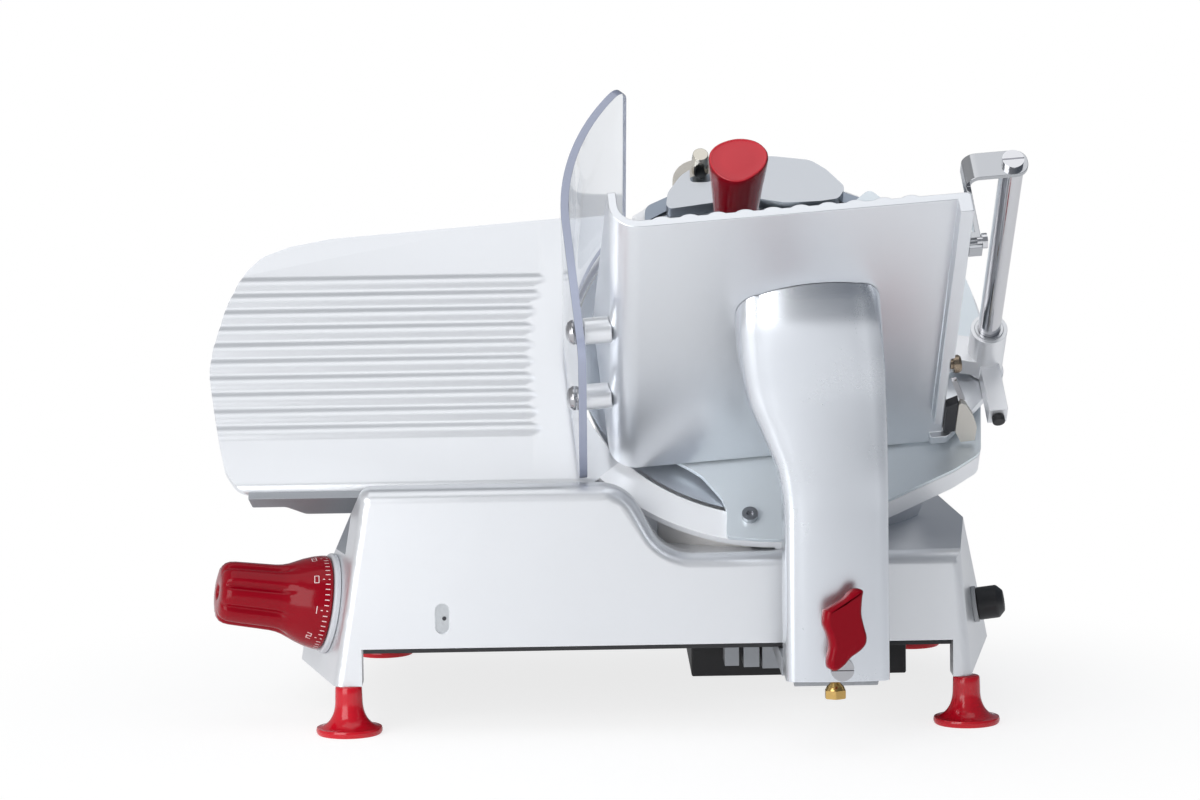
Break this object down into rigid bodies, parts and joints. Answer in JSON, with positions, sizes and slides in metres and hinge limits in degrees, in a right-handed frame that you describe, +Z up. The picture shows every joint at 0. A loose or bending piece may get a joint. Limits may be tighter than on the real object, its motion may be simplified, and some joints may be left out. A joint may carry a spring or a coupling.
{
  "type": "meat slicer",
  "caption": "Gravity feed electric meat slicer with a slanted round blade, sliding carriage, ribbed thickness gauge, clear hand guard and red grips.",
  "frame": {"origin": "on the worktop, under the middle of the overall box", "axes": "+X to the operator's right, along the carriage travel; +Y away from the operator; +Z up"},
  "size_m": [0.5064, 0.4724, 0.3985],
  "materials": {
    "cast_aluminium": "satin anodised casting",
    "grey_cast": "rough casting",
    "steel": "ground",
    "bright_metal": "polished",
    "red_plastic": "moulded",
    "red_rubber": "moulded",
    "black_plastic": "moulded",
    "grey_plastic": "moulded",
    "clear_plastic": "clear sheet",
    "brass": "turned",
    "belt_rubber": "ribbed belt",
    "stone": "abrasive wheel",
    "green_plastic": "moulded"
  },
  "bodies": {
    "base": {"base_casting": "cast_aluminium", "bottom_cover": "steel", "motor_tray": "black_plastic", "rubber_feet": "red_rubber", "cable_gland": "black_plastic", "gland_washer": "grey_plastic", "blade_housing": "cast_aluminium", "blade_cover": "cast_aluminium", "blade_cover_screws": "bright_metal", "spindle_bearings": "steel", "drive_belt": "belt_rubber", "motor_body": "cast_aluminium", "slice_deflector": "steel", "sharpener_base": "grey_cast", "sharpener_cover": "cast_aluminium", "gauge_rod": "steel", "index_ring": "grey_plastic", "guide_bar": "steel", "roller_rail": "steel", "switch_plate": "black_plastic"},
    "blade_drive": {"blade": "steel", "blade_screws": "steel", "blade_spindle": "steel", "blade_pulley": "steel"},
    "motor_rotor": {"motor_shaft": "steel", "motor_pulley": "steel"},
    "gauge": {"gauge_plate": "cast_aluminium", "gauge_support": "cast_aluminium", "cam_follower": "steel"},
    "knob": {"thickness_knob": "red_plastic", "knob_shaft": "steel", "thickness_cam": "black_plastic"},
    "carriage": {"slide_block": "grey_cast", "slide_bushes": "grey_plastic"},
    "roller": {"carriage_roller": "bright_metal"},
    "arm": {"carriage_arm": "cast_aluminium", "arm_pivot_pin": "steel", "meat_table": "cast_aluminium", "splash_guard": "clear_plastic", "guard_studs": "cast_aluminium", "guard_screws": "bright_metal", "arm_screw": "bright_metal", "arm_bolt": "brass", "pusher_rod": "bright_metal", "rod_top_bracket": "bright_metal", "rod_screws": "bright_metal"},
    "lock": {"lock_knob": "red_plastic"},
    "pusher_slider": {"pusher_bush": "grey_plastic"},
    "pusher": {"pusher_hub": "cast_aluminium", "pusher_plate": "grey_cast", "pusher_handle": "red_plastic", "stop_pin": "bright_metal"},
    "cover_tie": {"tie_rod": "steel", "tie_rod_knob": "black_plastic"},
    "grinding_button": {"grinding_shaft": "bright_metal"},
    "grinding_wheel": {"grinding_stone": "stone"},
    "deburring_button": {"deburring_shaft": "bright_metal"},
    "deburring_wheel": {"deburring_stone": "stone"},
    "start": {"start_button": "green_plastic"},
    "stop": {"stop_button": "red_plastic"}
  },
  "joints": [
    {"name": "blade_spin", "type": "hinge", "parent": "base", "child": "blade_drive", "pos_m": [0.1053, 0.02338, 0.2247], "axis": [0, -0.766, 0.6428], "continuous": true},
    {"name": "motor_spin", "type": "hinge", "parent": "base", "child": "motor_rotor", "pos_m": [0.1053, -0.01905, 0.17414], "axis": [0, -0.766, 0.6428], "continuous": true},
    {"name": "gauge_slide", "type": "slide", "parent": "base", "child": "gauge", "axis": [0, 0.766, -0.6428], "range_m": [0, 0.012]},
    {"name": "knob_turn", "type": "hinge", "parent": "base", "child": "knob", "pos_m": [-0.17626, -0.03662, 0.075], "axis": [-0.9553, -0.2488, 0.1599], "range_deg": [0, 300]},
    {"name": "carriage_slide", "type": "slide", "parent": "base", "child": "carriage", "axis": [1, 0, 0], "range_m": [-0.24, 0.01]},
    {"name": "roller_spin", "type": "hinge", "parent": "carriage", "child": "roller", "pos_m": [0.1383, -0.07162, 0.0783], "axis": [0, 1, 0], "continuous": true},
    {"name": "arm_tilt", "type": "hinge", "parent": "carriage", "child": "arm", "pos_m": [0.1343, -0.14062, 0.058], "axis": [1, 0, 0], "range_deg": [0, 38]},
    {"name": "lock_turn", "type": "hinge", "parent": "arm", "child": "lock", "pos_m": [0.1353, -0.18262, 0.0765], "axis": [0.342, -0.9397, 0], "range_deg": [0, 180]},
    {"name": "pusher_travel", "type": "slide", "parent": "arm", "child": "pusher_slider", "axis": [0, -0.766, 0.6428], "range_m": [0, 0.12]},
    {"name": "pusher_swing", "type": "hinge", "parent": "pusher_slider", "child": "pusher", "pos_m": [0.23929, -0.02631, 0.22928], "axis": [0, 0.766, -0.6428], "range_deg": [0, 110]},
    {"name": "tie_turn", "type": "hinge", "parent": "base", "child": "cover_tie", "pos_m": [0.1053, 0.12296, 0.14114], "axis": [0, -0.766, 0.6428], "range_deg": [0, 270]},
    {"name": "grinding_press", "type": "slide", "parent": "base", "child": "grinding_button", "axis": [0, -0.766, 0.6428], "range_m": [0, 0.003], "stiffness_N_per_m": 300, "springref_m": -0.002},
    {"name": "grinding_spin", "type": "hinge", "parent": "grinding_button", "child": "grinding_wheel", "pos_m": [0.0653, 0.11842, 0.32902], "axis": [0, -0.766, 0.6428], "continuous": true},
    {"name": "deburring_press", "type": "slide", "parent": "base", "child": "deburring_button", "axis": [0, 0.766, -0.6428], "range_m": [0, 0.002], "stiffness_N_per_m": 300, "springref_m": -0.002},
    {"name": "deburring_spin", "type": "hinge", "parent": "deburring_button", "child": "deburring_wheel", "pos_m": [0.0913, 0.10827, 0.33753], "axis": [0, -0.766, 0.6428], "continuous": true},
    {"name": "start_press", "type": "slide", "parent": "base", "child": "start", "axis": [0.9811, -0.1041, -0.1632], "range_m": [0, 0.002], "stiffness_N_per_m": 300, "springref_m": -0.002},
    {"name": "stop_press", "type": "slide", "parent": "base", "child": "stop", "axis": [0.9811, -0.1041, -0.1632], "range_m": [0, 0.002], "stiffness_N_per_m": 300, "springref_m": -0.002}
  ],
  "couplings": [
    {"joint": "motor_spin", "follows": "blade_spin", "ratio": 4},
    {"joint": "knob_turn", "follows": "gauge_slide", "rad_per_m": 436.33}
  ]
}
